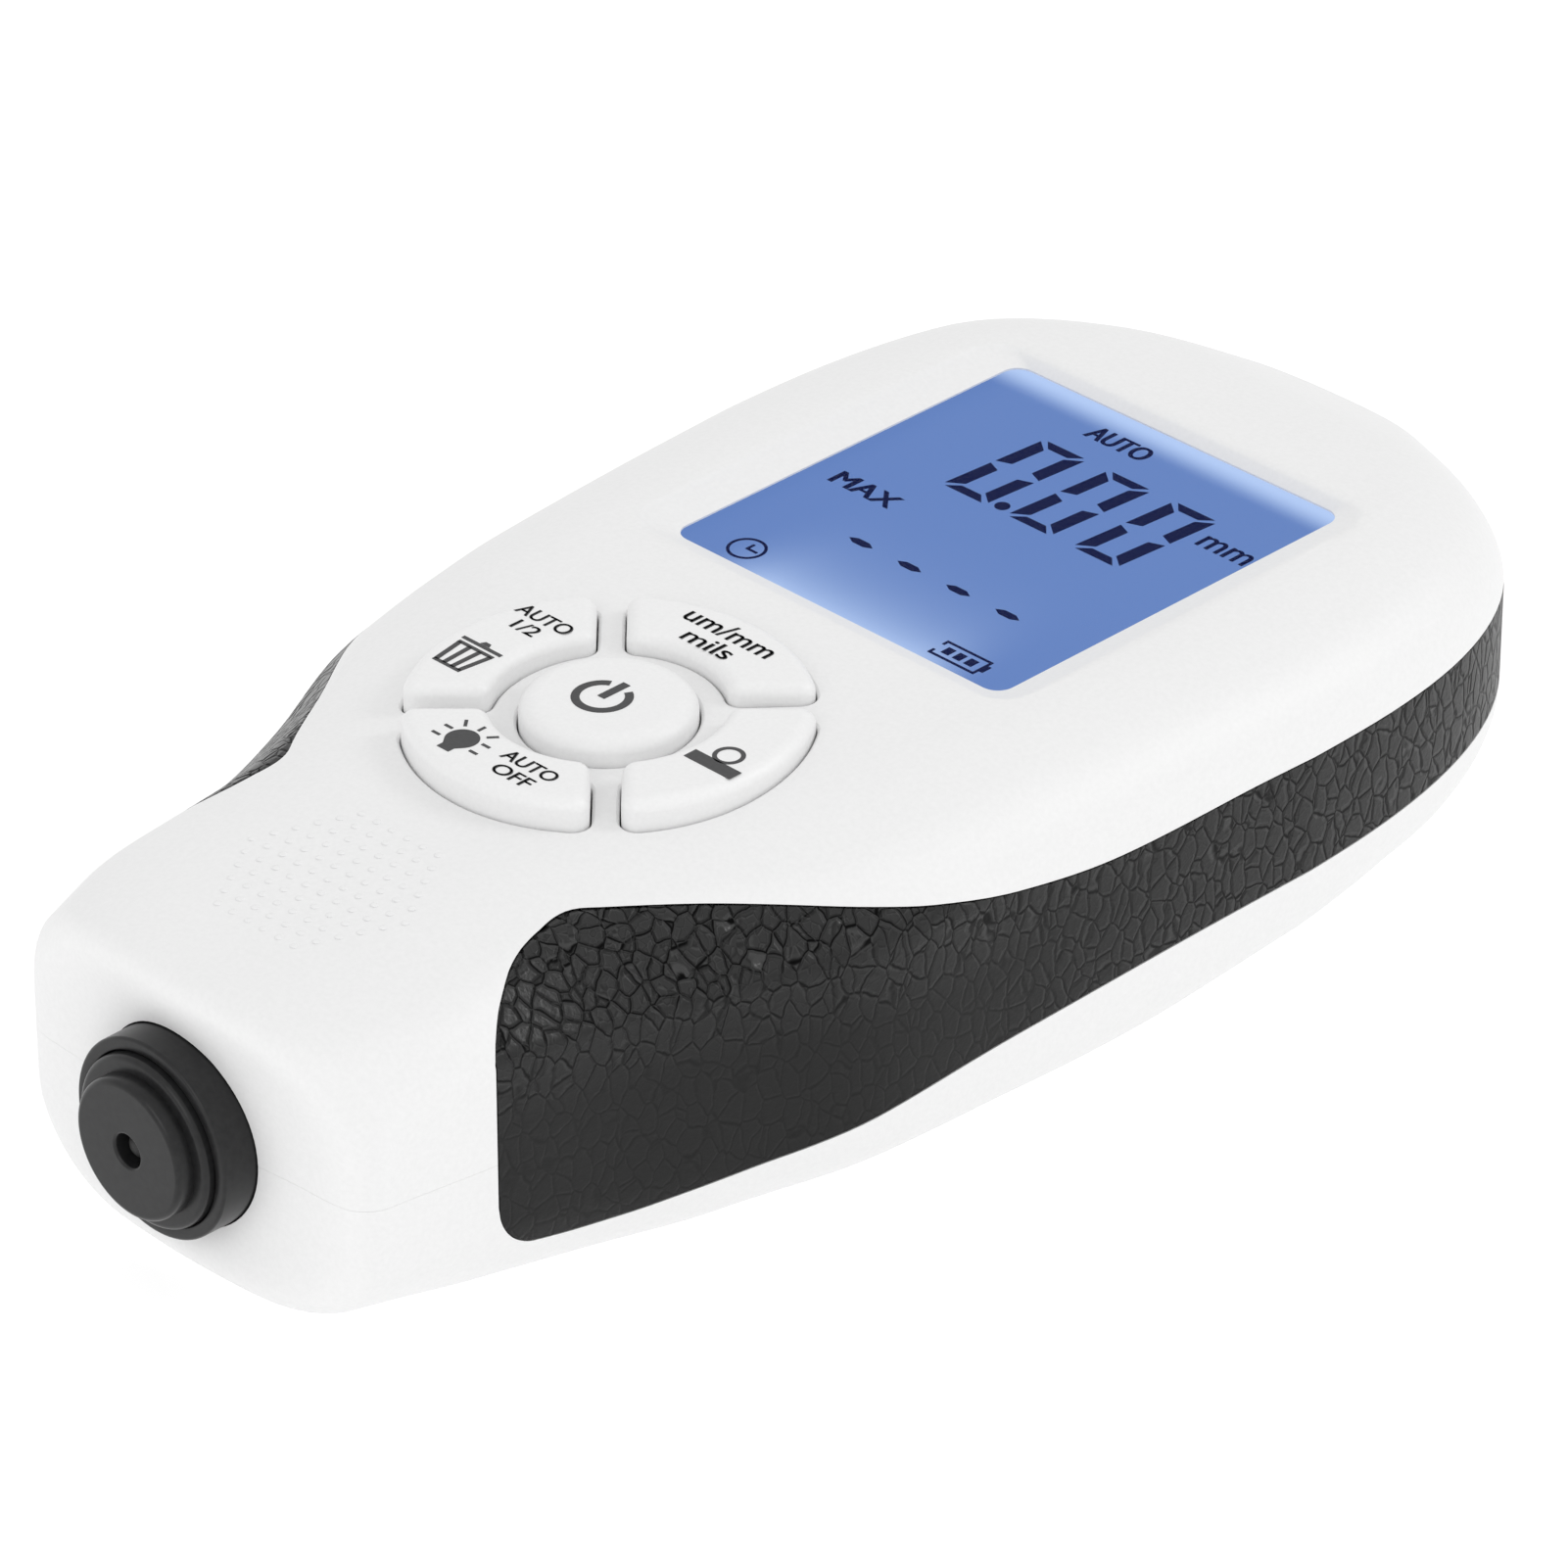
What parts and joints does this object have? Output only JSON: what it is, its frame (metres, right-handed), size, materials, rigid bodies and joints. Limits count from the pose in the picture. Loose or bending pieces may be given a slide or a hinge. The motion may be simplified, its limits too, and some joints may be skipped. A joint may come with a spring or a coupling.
{
  "type": "coating thickness gauge",
  "caption": "Hand-held paddle-shaped gauge with a backlit display, a ring of keys and a sprung probe in its nose, for measuring the thickness of a coating.",
  "frame": {"origin": "centre of the bounding box in plan, on the table under the back cover", "axes": "+Y from the probe to the tail, +Z out of the display, +X to the right when the display is read with the probe pointing down"},
  "size_m": [0.064, 0.1263, 0.0293],
  "materials": {
    "housing_white": "fine satin mould texture",
    "grip_leather": "black grained leather look with a soft sheen",
    "window_clear": "clear polished",
    "lcd_blue": "blue backlit display",
    "frame_white": "plain moulded",
    "backlight_white": "diffusing white",
    "strip_rubber": "conductive rubber",
    "board_green": "lacquered circuit board",
    "chip_black": "moulded package",
    "key_white": "satin",
    "switch_black": "plain",
    "probe_black": "black, slightly glossy",
    "coil_copper": "enamelled copper wire",
    "steel": "plated",
    "cell_wrap": "printed wrap, plain"
  },
  "bodies": {
    "housing": {"front_cover": "housing_white", "rear_cover": "housing_white", "grip_band": "grip_leather", "display_window": "window_clear", "lcd_glass": "lcd_blue", "lcd_frame": "frame_white", "backlight": "backlight_white", "contact_strip": "strip_rubber", "main_board": "board_green", "processor_chip": "chip_black", "power_switch": "switch_black", "units_switch": "switch_black", "delete_switch": "switch_black", "light_switch": "switch_black", "zero_switch": "switch_black", "probe_collar": "probe_black", "probe_spring": "steel", "probe_cap": "probe_black", "battery_left": "cell_wrap", "battery_right": "cell_wrap", "bridge_contact": "steel", "output_contacts": "steel", "contact_springs": "steel", "case_screws": "steel", "board_screws": "steel"},
    "power": {"power_key": "key_white"},
    "units": {"units_key": "key_white"},
    "delete": {"delete_key": "key_white"},
    "light": {"light_key": "key_white"},
    "zero": {"zero_key": "key_white"},
    "plunger": {"probe_plunger": "probe_black", "probe_coil": "coil_copper", "probe_tip": "steel"},
    "door": {"battery_door": "housing_white"}
  },
  "joints": [
    {"name": "power_press", "type": "slide", "parent": "housing", "child": "power", "axis": [0, 0, -1], "range_m": [0, 0.0005], "stiffness_N_per_m": 600},
    {"name": "units_press", "type": "slide", "parent": "housing", "child": "units", "axis": [0, 0, -1], "range_m": [0, 0.0005], "stiffness_N_per_m": 600},
    {"name": "delete_press", "type": "slide", "parent": "housing", "child": "delete", "axis": [0, 0, -1], "range_m": [0, 0.0005], "stiffness_N_per_m": 600},
    {"name": "light_press", "type": "slide", "parent": "housing", "child": "light", "axis": [0, 0, -1], "range_m": [0, 0.0005], "stiffness_N_per_m": 600},
    {"name": "zero_press", "type": "slide", "parent": "housing", "child": "zero", "axis": [0, 0, -1], "range_m": [0, 0.0005], "stiffness_N_per_m": 600},
    {"name": "probe_press", "type": "slide", "parent": "housing", "child": "plunger", "axis": [0, 1, 0], "range_m": [0, 0.002], "stiffness_N_per_m": 600, "deforming": ["probe_spring"]},
    {"name": "door_open", "type": "hinge", "parent": "housing", "child": "door", "pos_m": [0, -0.00498, 0], "axis": [-1, 0, 0], "range_deg": [0, 60]}
  ]
}
